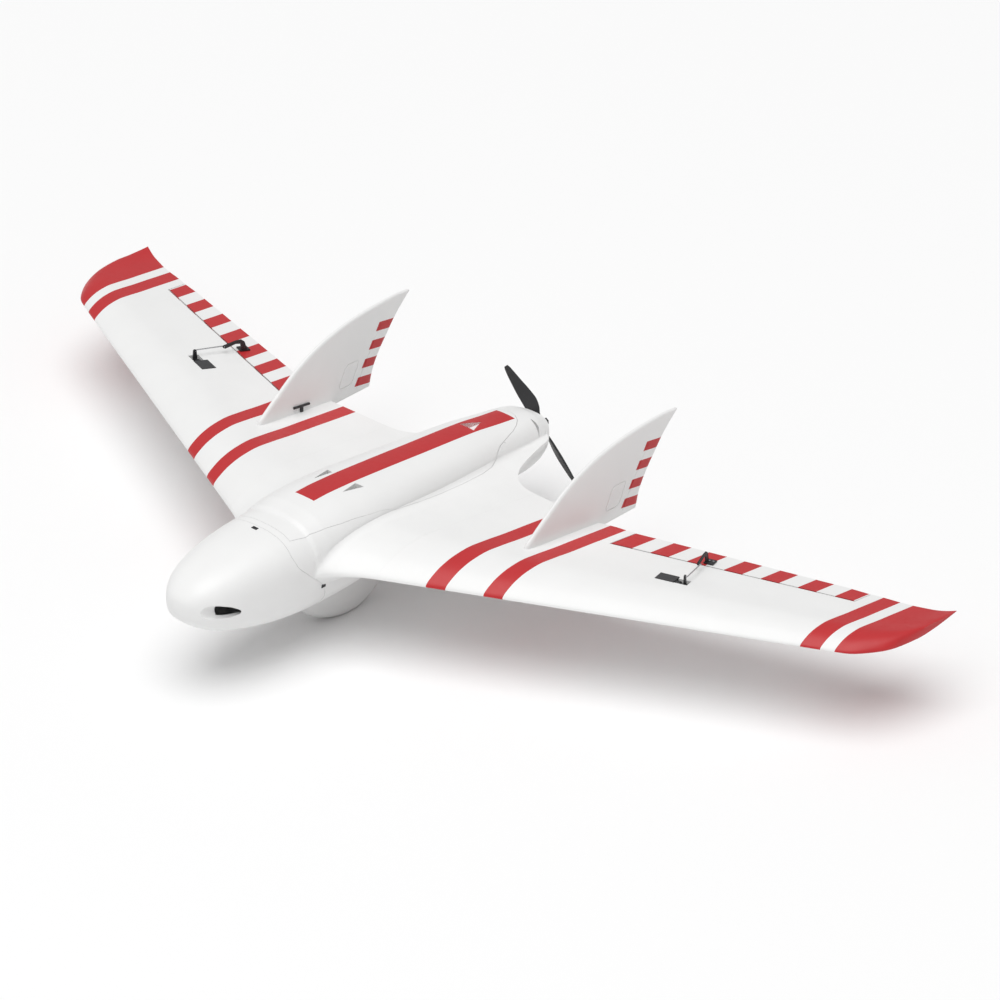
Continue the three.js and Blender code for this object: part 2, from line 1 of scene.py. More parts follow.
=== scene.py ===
"""Looks of a small foam flying wing: fine foam skins, painted bands, drive parts, floor, light and camera."""
import math

import bpy
import numpy as np
from mathutils import Matrix, Vector


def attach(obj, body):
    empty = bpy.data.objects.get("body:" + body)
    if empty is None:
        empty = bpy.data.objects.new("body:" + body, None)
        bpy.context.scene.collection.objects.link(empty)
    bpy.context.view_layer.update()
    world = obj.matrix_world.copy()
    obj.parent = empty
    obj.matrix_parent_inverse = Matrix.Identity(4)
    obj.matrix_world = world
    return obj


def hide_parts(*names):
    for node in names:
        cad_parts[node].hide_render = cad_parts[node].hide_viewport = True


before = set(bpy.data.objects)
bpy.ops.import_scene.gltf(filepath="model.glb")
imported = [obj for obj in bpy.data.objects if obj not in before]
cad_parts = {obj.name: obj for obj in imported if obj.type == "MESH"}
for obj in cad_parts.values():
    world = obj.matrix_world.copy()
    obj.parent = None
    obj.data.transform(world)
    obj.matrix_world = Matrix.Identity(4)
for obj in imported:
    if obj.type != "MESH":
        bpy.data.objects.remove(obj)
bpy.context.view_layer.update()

# ---- drafting frame, in millimetres, as in the CAD ------------------------------
ORIGIN_Y = 72.1
KEEL_BOTTOM = -106.5
GAP = 0.3
SWEEP = 0.489
SWEEP_START = 161.5
ROOT_X = 110.0
WASH = -0.0068
HINGE_START = np.array([248.5, 194.3, 5.0])
HINGE_END = np.array([515.0, 284.8, 0.8])
ELEVON_IN = 248.0
ELEVON_OUT = 514.0
FIN_X = 200.0
PROP_Y = 351.0
PROP_Z = -6.5

STATIONS = np.array([
    [-217, 4, 3, -4], [-215.5, 12, 11, -10.5], [-210, 21.5, 18.5, -17], [-199, 31.5, 27.5, -25.5],
    [-182, 40.5, 35, -34], [-158, 48, 41, -42], [-130, 53, 46, -49], [-100, 56, 49, -54.5],
    [-60, 57, 50.8, -58], [-20, 56.5, 51, -58], [30, 55.5, 49.8, -55], [80, 53, 47.2, -50.5],
    [130, 50, 44, -46], [180, 46.5, 40.2, -43], [216, 43.5, 37.2, -41.7], [232, 42, 35.6, -41],
    [270, 38.5, 30.8, -40], [300, 35.5, 27.5, -39.5], [318, 32.5, 24.3, -37], [332, 28, 19, -32.5],
    [341, 22.5, 13.5, -27], [346, 17.9, 9, -22.5],
])
SECTION_POWER = 2.7
UPPER = np.array([
    [0, -0.6], [0.012, 3.6], [0.045, 8.2], [0.11, 14.4], [0.2, 18.6], [0.29, 19.8],
    [0.42, 16.9], [0.55, 12.9], [0.7, 9.2], [0.85, 5.2], [1, 1.4],
])
LOWER = np.array([
    [0, -0.6], [0.01, -2.2], [0.04, -4.2], [0.12, -6.4], [0.27, -7.2], [0.45, -6.4],
    [0.65, -4.6], [0.85, -2.2], [1, -0.4],
])
TE_LINE = np.array([
    [0, 222], [200, 222], [218.4, 228.9], [249.7, 234.5], [269.2, 240.6], [491, 305], [513.5, 310],
    [529, 315], [548, 319.3], [562.7, 323.6], [590, 334.5], [606.5, 341.8],
])
TIP_LE = np.array([[562, 196], [576, 204], [590, 220], [601, 240], [606, 267], [608, 292]])
ROOT = np.array([
    [20, -92, 336, 0.85, 3.3], [40, -80, 320, 0.84, 3.0], [46, -76, 298, 0.83, 2.8],
    [53, -69, 274, 0.83, 2.5], [60, -62, 255, 0.85, 2.0], [67, -55, 243, 0.88, 1.6],
    [75, -48, 234, 0.91, 1.35], [84, -41, 228, 0.94, 1.2], [96, -32.5, 223.5, 0.98, 1.06],
    [110, -25.18, 222, 1, 1],
])


def smooth(table, x):
    """Monotone cubic through a table of (x, value) rows."""
    t, v = table[:, 0], table[:, 1]
    d = np.diff(v) / np.diff(t)
    m = np.zeros(len(t))
    m[0], m[-1] = d[0], d[-1]
    for i in range(1, len(t) - 1):
        if d[i - 1] * d[i] > 0:
            m[i] = 2 * d[i - 1] * d[i] / (d[i - 1] + d[i])
    x = np.clip(np.asarray(x, float), t[0], t[-1])
    i = np.clip(np.searchsorted(t, x, side="right") - 1, 0, len(t) - 2)
    w = t[i + 1] - t[i]
    s = (x - t[i]) / w
    return (
        (2 * s**3 - 3 * s**2 + 1) * v[i] + (s**3 - 2 * s**2 + s) * w * m[i]
        + (3 * s**2 - 2 * s**3) * v[i + 1] + (s**3 - s**2) * w * m[i + 1]
    )


def aerofoil(u, upper):
    """Height on the chord fraction, sampled on the square root of it so that the nose is round."""
    table = UPPER if upper else LOWER
    warped = np.column_stack([np.sqrt(table[:, 0]), table[:, 1]])
    return smooth(warped, np.sqrt(np.clip(u, 0, 1)))


def leading_edge(x):
    x = np.asarray(x, float)
    return np.where(x < 562, SWEEP * (x - SWEEP_START), smooth(TIP_LE, x))


def trailing_edge(x):
    return np.interp(np.minimum(x, 606.5), TE_LINE[:, 0], TE_LINE[:, 1])


# ---- mesh helpers ----------------------------------------------------------------
def to_row(points):
    p = np.asarray(points, float) - np.array([0, ORIGIN_Y, KEEL_BOTTOM])
    return p * 0.001


def mesh_object(name, points, faces, flat=False):
    mesh = bpy.data.meshes.new(name)
    mesh.from_pydata([tuple(p) for p in to_row(points)], [], faces)
    mesh.update()
    obj = bpy.data.objects.new(name, mesh)
    bpy.context.scene.collection.objects.link(obj)
    for polygon in mesh.polygons:
        polygon.use_smooth = not flat
    return obj


def loft(name, rings, flat=False):
    """A closed skin over rings of points, with a fan at each end, facing out."""
    rings = [np.asarray(r, float) for r in rings]
    count = len(rings[0])
    points = np.concatenate(rings + [rings[0].mean(0)[None], rings[-1].mean(0)[None]])
    faces = []
    for i in range(len(rings) - 1):
        for j in range(count):
            a, b = i * count + j, i * count + (j + 1) % count
            faces.append((a, b, b + count, a + count))
    first, last = len(points) - 2, len(points) - 1
    base = (len(rings) - 1) * count
    for j in range(count):
        faces.append((first, (j + 1) % count, j))
        faces.append((last, base + j, base + (j + 1) % count))
    volume = 0.0
    for f in faces:
        for k in range(1, len(f) - 1):
            volume += np.dot(points[f[0]], np.cross(points[f[k]], points[f[k + 1]]))
    if volume < 0:
        faces = [tuple(reversed(f)) for f in faces]
    return mesh_object(name, points, faces, flat)


def prism(name, outline, axis, low, high):
    """Extrudes an outline drawn across an axis: x for (y, z), z for (x, y)."""
    def lift(p, t):
        return (t, p[0], p[1]) if axis == "x" else (p[0], p[1], t)
    rings = [[lift(p, low) for p in outline], [lift(p, high) for p in outline]]
    points = np.array(rings[0] + rings[1], float)
    n = len(outline)
    faces = [(i, (i + 1) % n, (i + 1) % n + n, i + n) for i in range(n)]
    faces += [tuple(reversed(range(n))), tuple(range(n, 2 * n))]
    obj = mesh_object(name, points, faces, flat=True)
    face_out(obj)
    return obj


def face_out(obj):
    import bmesh
    bm = bmesh.new()
    bm.from_mesh(obj.data)
    bmesh.ops.recalc_face_normals(bm, faces=bm.faces)
    bm.to_mesh(obj.data)
    bm.free()


def block(name, x0, x1, y0, y1, z0, z1):
    return prism(name, [(x0, y0), (x1, y0), (x1, y1), (x0, y1)], "z", z0, z1)


def boolean(obj, others, operation="DIFFERENCE", keep=False):
    for other in others:
        modifier = obj.modifiers.new("cut", "BOOLEAN")
        modifier.operation = operation
        modifier.solver = "EXACT"
        modifier.object = other
        bpy.context.view_layer.objects.active = obj
        bpy.ops.object.modifier_apply(modifier=modifier.name)
        if not keep:
            bpy.data.objects.remove(other)
    return obj


def duplicate(obj, name):
    copy = obj.copy()
    copy.data = obj.data.copy()
    copy.name = name
    bpy.context.scene.collection.objects.link(copy)
    return copy


def mirror(obj, name):
    copy = duplicate(obj, name)
    copy.data.transform(Matrix.Scale(-1, 4, (1, 0, 0)))
    copy.data.flip_normals()
    return copy


def crisp(obj, degrees=35):
    """Smooth shading that keeps edges sharper than the angle."""
    for polygon in obj.data.polygons:
        polygon.use_smooth = True
    obj.data.set_sharp_from_angle(angle=math.radians(degrees))


# ---- materials -------------------------------------------------------------------
FOAM = (0.86, 0.86, 0.855)
RED = (0.53, 0.03, 0.034)


class Nodes:
    """Small builder for a procedural material."""

    def __init__(self, name):
        self.material = bpy.data.materials.new(name)
        self.material.use_nodes = True
        self.tree = self.material.node_tree
        self.shader = self.tree.nodes["Principled BSDF"]
        self.object = self.node("ShaderNodeTexCoord").outputs["Object"]

    def node(self, kind, **values):
        made = self.tree.nodes.new(kind)
        for key, value in values.items():
            setattr(made, key, value)
        return made

    def link(self, source, target):
        self.tree.links.new(source, target)

    def math(self, operation, a, b=None, c=None):
        made = self.node("ShaderNodeMath", operation=operation)
        for socket, value in zip(made.inputs, (a, b, c)):
            if value is None:
                continue
            if isinstance(value, (int, float)):
                socket.default_value = value
            else:
                self.link(value, socket)
        return made.outputs[0]

    def axes(self):
        made = self.node("ShaderNodeSeparateXYZ")
        self.link(self.object, made.inputs[0])
        return made.outputs

    def noise(self, scale, detail=3.0, roughness=0.55):
        made = self.node("ShaderNodeTexNoise")
        made.inputs["Scale"].default_value = scale
        made.inputs["Detail"].default_value = detail
        made.inputs["Roughness"].default_value = roughness
        self.link(self.object, made.inputs["Vector"])
        return made.outputs["Fac"]

    def spread(self, value, low, high):
        made = self.node("ShaderNodeMapRange")
        self.link(value, made.inputs["Value"])
        made.inputs["From Min"].default_value = 0.3
        made.inputs["From Max"].default_value = 0.7
        made.inputs["To Min"].default_value = low
        made.inputs["To Max"].default_value = high
        return made.outputs["Result"]

    def mix(self, factor, a, b):
        made = self.node("ShaderNodeMix", data_type="RGBA")
        sockets = [s for s in made.inputs if s.type == "RGBA"]
        for socket, value in zip(sockets, (a, b)):
            if isinstance(value, tuple):
                socket.default_value = (*value, 1)
            else:
                self.link(value, socket)
        if isinstance(factor, (int, float)):
            made.inputs[0].default_value = factor
        else:
            self.link(factor, made.inputs[0])
        return next(s for s in made.outputs if s.type == "RGBA")

    def between(self, value, low, high):
        above = self.math("GREATER_THAN", value, low)
        below = self.math("LESS_THAN", value, high)
        return self.math("MULTIPLY", above, below)

    def bump(self, height, distance, strength=0.3):
        made = self.node("ShaderNodeBump")
        made.inputs["Strength"].default_value = strength
        made.inputs["Distance"].default_value = distance
        self.link(height, made.inputs["Height"])
        self.link(made.outputs[0], self.shader.inputs["Normal"])


def varied(n, colour, spread=0.06, scale=60.0):
    """A colour with faint uneven tone."""
    dark = tuple(c * (1 - spread) for c in colour)
    return n.mix(n.spread(n.noise(scale), 0.0, 1.0), dark, colour)


def foam_material(name, paint=None, base=FOAM):
    """Satin moulded foam; paint(n) gives the mask of the red paint."""
    n = Nodes(name)
    colour = varied(n, base, 0.02, 25.0)
    rough = n.spread(n.noise(180.0), 0.34, 0.42)
    if paint:
        colour = n.mix(paint(n), colour, varied(n, RED, 0.05, 40.0))
    n.link(colour, n.shader.inputs["Base Color"])
    n.link(rough, n.shader.inputs["Roughness"])
    n.shader.inputs["Specular IOR Level"].default_value = 0.35
    n.bump(n.noise(900.0, 2.0), 0.00006, 0.25)
    return n.material


def plain_material(name, colour, rough=(0.4, 0.55), metal=0.0, grain=0.08, scale=120.0, bump=0.00004):
    n = Nodes(name)
    n.link(varied(n, colour, grain, scale), n.shader.inputs["Base Color"])
    n.link(n.spread(n.noise(scale * 2), *rough), n.shader.inputs["Roughness"])
    n.shader.inputs["Metallic"].default_value = metal
    n.bump(n.noise(scale * 6, 2.0), bump, 0.3)
    return n.material


BANDS = [(159.0, 178.5), (216.5, 235.5), (528.5, 548.0), (562.0, 640.0)]


def wing_bands(n):
    across = n.math("ABSOLUTE", n.axes()[0])
    mask = None
    for low, high in BANDS:
        band = n.between(across, low * 0.001, high * 0.001)
        mask = band if mask is None else n.math("MAXIMUM", mask, band)
    return mask


def elevon_blocks(n):
    """Thirteen equal blocks across the elevon, red first."""
    across = n.math("ABSOLUTE", n.axes()[0])
    step = n.math("DIVIDE", n.math("SUBTRACT", across, 0.2507), 0.02015)
    parity = n.math("MODULO", n.math("FLOOR", step), 2.0)
    return n.math("LESS_THAN", parity, 0.5)


def spine_stripe(n):
    x, y, _ = n.axes()
    across = n.math("LESS_THAN", n.math("ABSOLUTE", x), 0.0139)
    along = n.between(y, (-21.4 - ORIGIN_Y) * 0.001, (294.5 - ORIGIN_Y) * 0.001)
    painted = n.math("MULTIPLY", across, along)
    # the outlet's recess, a triangle with its point aft, shows bare foam
    edge = n.math("MULTIPLY", n.math("SUBTRACT", (255 - ORIGIN_Y) * 0.001, y), 10.6 / 23)
    in_recess = n.math("MULTIPLY", n.math("LESS_THAN", n.math("ABSOLUTE", x), edge),
                       n.math("GREATER_THAN", y, (232 - ORIGIN_Y) * 0.001))
    return n.math("MULTIPLY", painted, n.math("SUBTRACT", 1.0, in_recess))


def fin_blocks(n):
    """Four blocks behind the moulded rudder line, with edges that fall slightly towards the tail."""
    _, y, z = n.axes()
    y = n.math("ADD", y, ORIGIN_Y * 0.001)
    z = n.math("ADD", z, KEEL_BOTTOM * 0.001)
    level = n.math("MULTIPLY_ADD", y, 0.16, z)
    step = n.math("DIVIDE", n.math("SUBTRACT", level, 0.0446), 0.0206)
    part = n.math("FRACT", step)
    on = n.math("LESS_THAN", part, 0.51)
    inside = n.between(step, 0.0, 3.55)
    seam = n.math("MULTIPLY_ADD", n.math("SUBTRACT", z, 0.0009), 0.636, 0.2582)
    behind = n.math("GREATER_THAN", y, seam)
    return n.math("MULTIPLY", n.math("MULTIPLY", on, inside), behind)


foam = foam_material("foam_plain")
# the keel's foam base is painted darker than the other foam, as painted shade for the keel side in the wing's
# shadow
foam_keel = foam_material("foam_keel", base=(0.8, 0.8, 0.795))
foam_body = foam_material("foam_body")
foam_wing = foam_material("foam_wing_bands", wing_bands)
foam_elevon = foam_material("foam_elevon_blocks", elevon_blocks)
foam_hatch = foam_material("foam_hatch_stripe", spine_stripe)
foam_fin = foam_material("foam_fin_blocks", fin_blocks)
black = plain_material("black_plastic", (0.016, 0.016, 0.018))
dark = plain_material("dark_grey_plastic", (0.045, 0.045, 0.048), rough=(0.5, 0.65))
blade_look = plain_material("filled_nylon", (0.028, 0.028, 0.03), rough=(0.42, 0.55), scale=300.0)
steel = plain_material("plated_steel", (0.62, 0.63, 0.65), rough=(0.22, 0.34), metal=1.0, scale=400.0)
alloy = plain_material("anodised_alloy", (0.11, 0.115, 0.13), rough=(0.25, 0.35), metal=1.0)
copper = plain_material("enamelled_copper", (0.5, 0.2, 0.09), rough=(0.25, 0.4), metal=0.9)
carbon = plain_material("carbon_tube", (0.012, 0.012, 0.014), rough=(0.25, 0.4), scale=500.0)
ply = plain_material("plywood", (0.52, 0.36, 0.2), rough=(0.6, 0.75), grain=0.3, scale=40.0)
wrap = plain_material("battery_wrap", (0.02, 0.06, 0.2), rough=(0.2, 0.3))
webbing = plain_material("strap_webbing", (0.014, 0.014, 0.016), rough=(0.8, 0.95), grain=0.4, scale=600.0)
board = plain_material("equipment_case", (0.02, 0.07, 0.05), rough=(0.4, 0.5))


def dress(obj, material, body, nodes=()):
    obj.data.materials.clear()
    obj.data.materials.append(material)
    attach(obj, body)
    if nodes:
        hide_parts(*nodes)


# ---- fuselage --------------------------------------------------------------------
RING = 144
ANGLES = 2 * np.pi * (np.arange(RING) + 0.5) / RING


def fuselage_values(y):
    return [smooth(STATIONS[:, [0, i]], y) for i in (1, 2, 3)]


def fuselage_ring(y, inset=0.0):
    half, top, bottom = fuselage_values(y)
    middle, tall, wide = (top + bottom) / 2, (top - bottom) / 2 - inset, half - inset
    c, s = np.cos(ANGLES), np.sin(ANGLES)
    x = wide * np.sign(c) * np.abs(c) ** (2 / SECTION_POWER)
    z = middle + tall * np.sign(s) * np.abs(s) ** (2 / SECTION_POWER)
    return np.column_stack([x, np.full(RING, float(y)), z])


def nose_steps():
    t = np.linspace(0, 1, 30)
    return list(-217 + 67 * t**2)


body_steps = nose_steps() + list(np.arange(-146, 300, 4.0)) + list(np.arange(300, 346.01, 2.0))


def fuselage(name, low=-300, high=400, inset=0.0):
    return loft(name, [fuselage_ring(y, inset) for y in body_steps if low <= y <= high])


NOSE_JOINT = [(-92, 90), (-92, 30), (-87, 17), (-71, 1), (-50.5, -18.5), (-46, -34), (-46, -95)]
HATCH_EDGE = [
    (-83, 42), (-45, 37), (-15, 33), (24, 28), (60, 24), (95, 18), (130, 12), (174, 5.5), (205, 1),
    (226, 3), (247, 13), (275, 16), (300, 17),
]
HATCH_PLAN = [
    (38, -83), (46, -45), (50, -15), (53, 24), (54, 60), (54, 95), (53.5, 130), (52, 174), (49.5, 205),
    (46, 223), (41, 236), (36.5, 247), (32.5, 261), (28, 276), (23, 287), (17, 295), (9, 300), (0, 302),
]


def nose_side(shift):
    line = [(y + shift, z) for y, z in NOSE_JOINT]
    return prism("nose_side", [(-260, 90), (-260, -95)] + line[::-1], "x", -90, 90)


def hatch_region(grow):
    edge = [(y, z - grow - 4) for y, z in HATCH_EDGE]
    edge[0] = (edge[0][0] - grow, edge[0][1])
    side = prism("hatch_side", edge + [(340, 13 - grow), (340, 90), (-83 - grow, 90)], "x", -80, 80)
    right = [(x + grow, y + grow if y > 0 else y - grow) for x, y in HATCH_PLAN]
    left = [(-x, y) for x, y in right[:-1]][::-1]
    plan = prism("hatch_plan", right + left, "z", -60, 100)
    return boolean(side, [plan], "INTERSECT")


def oriented(obj, rotation, at):
    """Turns a piece drawn round the drafting origin, then moves it to a place in millimetres."""
    shift = Vector((0, ORIGIN_Y, KEEL_BOTTOM)) * 0.001
    obj.data.transform(Matrix.Translation(shift))
    obj.data.transform(rotation)
    obj.data.transform(Matrix.Translation(Vector(at) * 0.001 - shift))
    return obj


def nose_inlet(side):
    """A forward-facing duct that starts as a scoop and dives under the skin."""
    rings = []
    for y, x, z, wide, tall in (
        (-217, 30, 2, 5, 6), (-201, 32.5, 1, 6.5, 8), (-189, 35.5, -0.5, 7.2, 8), (-177, 39, -3, 6.8, 7),
        (-167, 41.2, -5.5, 5.2, 4.6), (-158, 41.5, -8, 2.6, 2.2),
    ):
        a = np.linspace(0, 2 * np.pi, 41)[:-1]
        rings.append(np.column_stack([side * (x + wide * np.cos(a)), np.full(40, y), z + tall * np.sin(a)]))
    return loft("inlet", rings)


def pod_slot(side):
    """Crescent cooling slot on the pod's shoulder."""
    t = np.linspace(0, 1, 17)
    outer = [(-11.8 + 23.6 * v, 4.4 * math.sin(math.pi * v)) for v in t]
    inner = [(-11.8 + 23.6 * v, 0.2 * math.sin(math.pi * v)) for v in t[::-1][1:-1]]
    cut = prism("slot", outer + inner, "z", -15, 9)
    return oriented(cut, Matrix.Rotation(side * 0.8, 4, "Y"), (side * 25.2, 312.2, 12.6))


def wedge(name, plan, floor):
    """A three-cornered recess with a sloping floor: plan and floor run corner by corner."""
    points = [(x, y, 62) for x, y in plan] + [(x, y, z) for (x, y), z in zip(plan, floor)]
    faces = [(0, 1, 2), (3, 5, 4), (0, 3, 4, 1), (1, 4, 5, 2), (2, 5, 3, 0)]
    obj = mesh_object(name, points, faces, flat=True)
    face_out(obj)
    return obj


def spine_vent(side):
    plan = [(side * 21.5, 15), (side * 17.3, 39), (side * 27.3, 42)]
    return wedge("vent", plan, (47.5, 34, 31))


def spine_outlet():
    return wedge("outlet", [(-10.6, 232), (10.6, 232), (0, 255)], (28.5, 28.5, 33.6))


nose = fuselage("nose_cone_skin")
boolean(nose, [nose_side(-GAP / 2)], "INTERSECT")
boolean(nose, [fuselage("inner", -190, 225, 6.5), nose_inlet(1), nose_inlet(-1)])
crisp(nose)
dress(nose, foam, "nose", ["nose_cone"])


# ---- centre body -----------------------------------------------------------------
def root_value(x, column):
    return smooth(ROOT[:, [0, column]], np.abs(x))


def wing_heights(x, y):
    """Upper and lower height of the wing root at (x, y)."""
    front, rear = root_value(x, 1), root_value(x, 2)
    chord = rear - front
    u = np.clip((y - front) / chord, 0, 1)
    size = np.minimum(chord, 300) / 217
    return aerofoil(u, True) * size * root_value(x, 3), aerofoil(u, False) * size * root_value(x, 4)


def blended(a, b, radius):
    return (a + b + np.sqrt((a - b) ** 2 + radius**2)) / 2


ACROSS = np.linspace(20, 109.93, 600)
FRONTS = root_value(ACROSS, 1)
REARS = root_value(ACROSS, 2)


def reach(y):
    """Half-width of the wing root in plan at y."""
    return float(min(np.interp(y, FRONTS, ACROSS, left=0), np.interp(y, REARS[::-1], ACROSS[::-1], right=0)))


def body_ring(y):
    """One cross-section of the centre body: top from left to right, then the underside back."""
    half, top, bottom = fuselage_values(y)
    middle = (top + bottom) / 2
    edge = max(half, reach(y))
    apart = np.clip((edge - half) / 25, 0, 1)
    even = edge * np.sin(np.linspace(0, 1, 121) * np.pi / 2)
    split = np.concatenate([
        half * np.sin(np.linspace(0, 1, 71) * np.pi / 2),
        half + (edge - half) * (1 - (1 - np.linspace(0, 1, 51)[1:]) ** 1.7),
    ])
    x = even * (1 - apart) + split * apart
    ratio = np.clip(x / half, 0, 1)
    rise = (1 - ratio**SECTION_POWER) ** (1 / SECTION_POWER)
    beyond = 7 * np.clip(x - half, 0, None)
    z_top = middle + (top - middle) * rise - beyond
    z_low = middle + (bottom - middle) * rise + beyond
    wing = np.clip((edge - half) / 6, 0, 1)
    if wing > 0:
        wing_top, wing_low = wing_heights(x, y)
        upper = np.interp(y, [-80, -40, 0, 60, 150, 240, 330], [10, 28, 30, 26, 20, 18, 8]) * wing
        lower = 8.0 * wing
        fade = np.clip((x - half - 10) / 25, 0, 1)
        z_top = blended(z_top, wing_top, upper) * (1 - fade) + wing_top * fade
        z_low = -blended(-z_low, -wing_low, lower) * (1 - fade) + wing_low * fade
    middle_line = (z_top + z_low) / 2
    z_top = np.maximum(z_top, middle_line + 0.1)
    z_low = np.minimum(z_low, middle_line - 0.1)
    upper_half = np.column_stack([x, np.full(len(x), float(y)), z_top])
    lower_half = np.column_stack([x, np.full(len(x), float(y)), z_low])
    flip = np.array([-1, 1, 1])
    return np.concatenate([
        upper_half[::-1], (upper_half * flip)[1:], (lower_half * flip)[::-1], lower_half[1:],
    ])


steps = sorted(set(
    list(np.arange(-94, -76, 2.5)) + list(np.arange(-76, -22, 1.5)) + list(np.arange(-22, 216, 4.0))
    + list(np.arange(216, 236, 1.0)) + list(np.arange(236, 300, 3.0)) + list(np.arange(300, 346.1, 2.0))
))
body = loft("body_skin", [body_ring(y) for y in steps])
hatch = duplicate(body, "hatch_skin")
boolean(hatch, [hatch_region(0.0)], "INTERSECT")
boolean(hatch, [fuselage("inner", -190, 225, 6.5), spine_vent(1), spine_vent(-1), spine_outlet()])
crisp(hatch)
dress(hatch, foam_hatch, "hatch", ["hatch"])
rod = []
for y in (262, 350):
    a = np.linspace(0, 2 * np.pi, 49)[:-1]
    rod.append(np.column_stack([17.5 * np.cos(a), np.full(48, float(y)), PROP_Z + 17.5 * np.sin(a)]))
boolean(body, [
    nose_side(GAP / 2), hatch_region(GAP), fuselage("inner", -190, 225, 6.5), loft("pod_bore", rod),
    pod_slot(1), pod_slot(-1),
])
crisp(body)
dress(body, foam_body, "airframe", ["body_shell"])


# ---- wings -----------------------------------------------------------------------
def wing_ring(x, count=40):
    front, rear = float(leading_edge(x)), float(trailing_edge(x))
    chord = rear - front
    size = chord / 217
    curl = 5 * ((x - 580) / 28) ** 2 if x > 580 else 0.0
    drop = WASH * max(x - 110, 0)
    u = (1 - np.cos(np.linspace(0, np.pi, count))) / 2
    across, along = np.full(count, x), front + u * chord
    top = np.column_stack([across, along, aerofoil(u, True) * size + drop + curl * u * u])
    low = np.column_stack([across, along, aerofoil(u, False) * size + drop + curl * u * u])
    return np.concatenate([top, low[::-1][:-1]])


wing_steps = sorted(
    [ROOT_X] + list(np.arange(116, 560, 12.0)) + list(np.arange(560, 596, 4.0))
    + list(np.arange(596, 607.5, 1.5))
)
axis_h = (HINGE_END - HINGE_START) / np.linalg.norm(HINGE_END - HINGE_START)
axis_n = np.array([-axis_h[1], axis_h[0], 0]) / math.hypot(axis_h[0], axis_h[1])
axis_k = np.cross(axis_h, axis_n)


def hinge_prism(name, outline, s0, s1):
    """Extrudes an outline drawn in (aft, up) along the hinge."""
    rings = []
    for s in (s0, s1):
        rings += [HINGE_START + axis_h * s + axis_n * a + axis_k * k for a, k in outline]
    n = len(outline)
    faces = [(i, (i + 1) % n, (i + 1) % n + n, i + n) for i in range(n)]
    faces += [tuple(reversed(range(n))), tuple(range(n, 2 * n))]
    obj = mesh_object(name, np.array(rings), faces, flat=True)
    face_out(obj)
    return obj


def fin_outline():
    upper = [(109.6, 16), (121, 26), (145, 43.5), (170, 60), (197, 73), (223, 81.5), (256, 88), (290, 91.3),
             (326, 92.6), (353.6, 90.4)]
    rear = [(353.6, 90.4), (329, 67.1), (313.4, 47.5), (300.5, 30.4), (290.2, 11), (285.3, -6.4)]
    return upper, rear


def resample(points, count):
    """Even steps along a smooth curve through the points."""
    p = np.array(points, float)
    t = np.concatenate([[0], np.cumsum(np.linalg.norm(np.diff(p, axis=0), axis=1))])
    s = np.linspace(0, t[-1], count)
    return np.column_stack([smooth(np.column_stack([t, p[:, i]]), s) for i in range(p.shape[1])])


def fin_solid():
    """Sections from the leading to the trailing edge, rounded at the edges, thinner to the tip."""
    upper, rear = fin_outline()
    front = resample([(109, 11.5)] + upper, 60)
    back = resample([(222, -6.4), (285.3, -6.4)], 12)[:-1]
    back = np.concatenate([back, resample(rear[::-1], 49)])
    rings = []
    for i in range(60):
        start, end = front[i], back[i]
        thick = 3.0 - i / 59
        v = (1 - np.cos(np.linspace(0, np.pi, 24))) / 2
        edge = np.clip(np.minimum(v, 1 - v) * np.linalg.norm(end - start) / 5.0, 0, 1)
        w = thick * np.sqrt(np.clip(1 - (1 - edge) ** 2, 0.02, 1))
        p = start + (end - start) * v[:, None]
        left = np.column_stack([FIN_X + w, p])
        right = np.column_stack([FIN_X - w, p])
        rings.append(np.concatenate([left, right[::-1][1:-1]]))
    return loft("fin_skin", rings[:-1])


elevon_front = [(0.45, 20), (0.45, 0), (0.45 + 0.46 * 20, -20), (90, -20), (90, 20)]
elevon = loft("elevon_skin", [wing_ring(x) for x in wing_steps])
boolean(elevon, [hinge_prism("elevon_block", elevon_front, -60, 340)], "INTERSECT")
boolean(elevon, [block("span", ELEVON_IN, ELEVON_OUT, 100, 400, -30, 40)], "INTERSECT")
crisp(elevon)

wing = loft("wing_skin", [wing_ring(x) for x in wing_steps])
bay_outline = [(-1.9, 20), (-1.9, 1.0), (-0.45, -1.6), (-0.45, -20), (95, -20), (95, 20)]
bay = hinge_prism("bay", bay_outline, -60, 340)
boolean(bay, [block("span", ELEVON_IN - 1, ELEVON_OUT + 1, 100, 400, -30, 40)], "INTERSECT")

LINK_S, ARM_N, ARM_K = 108.2, -52.6, 2.3
SERVO_S, SERVO_N = LINK_S - 22, ARM_N + 2


def wing_top(point):
    x = point[0]
    front, rear = float(leading_edge(x)), float(trailing_edge(x))
    u = (point[1] - front) / (rear - front)
    return float(aerofoil(u, True)) * (rear - front) / 217 + WASH * (x - 110)


def skin_k(s, a):
    point = HINGE_START + axis_h * s + axis_n * a
    return wing_top(point) - (HINGE_START[2] + axis_h[2] * s)


def skin_plate(name, s0, s1, n0, n1, low, high):
    middle = (s0 + s1) / 2
    a, b = skin_k(middle, n0), skin_k(middle, n1)
    return hinge_prism(name, [(n0, a + low), (n1, b + low), (n1, b + high), (n0, a + high)], s0, s1)


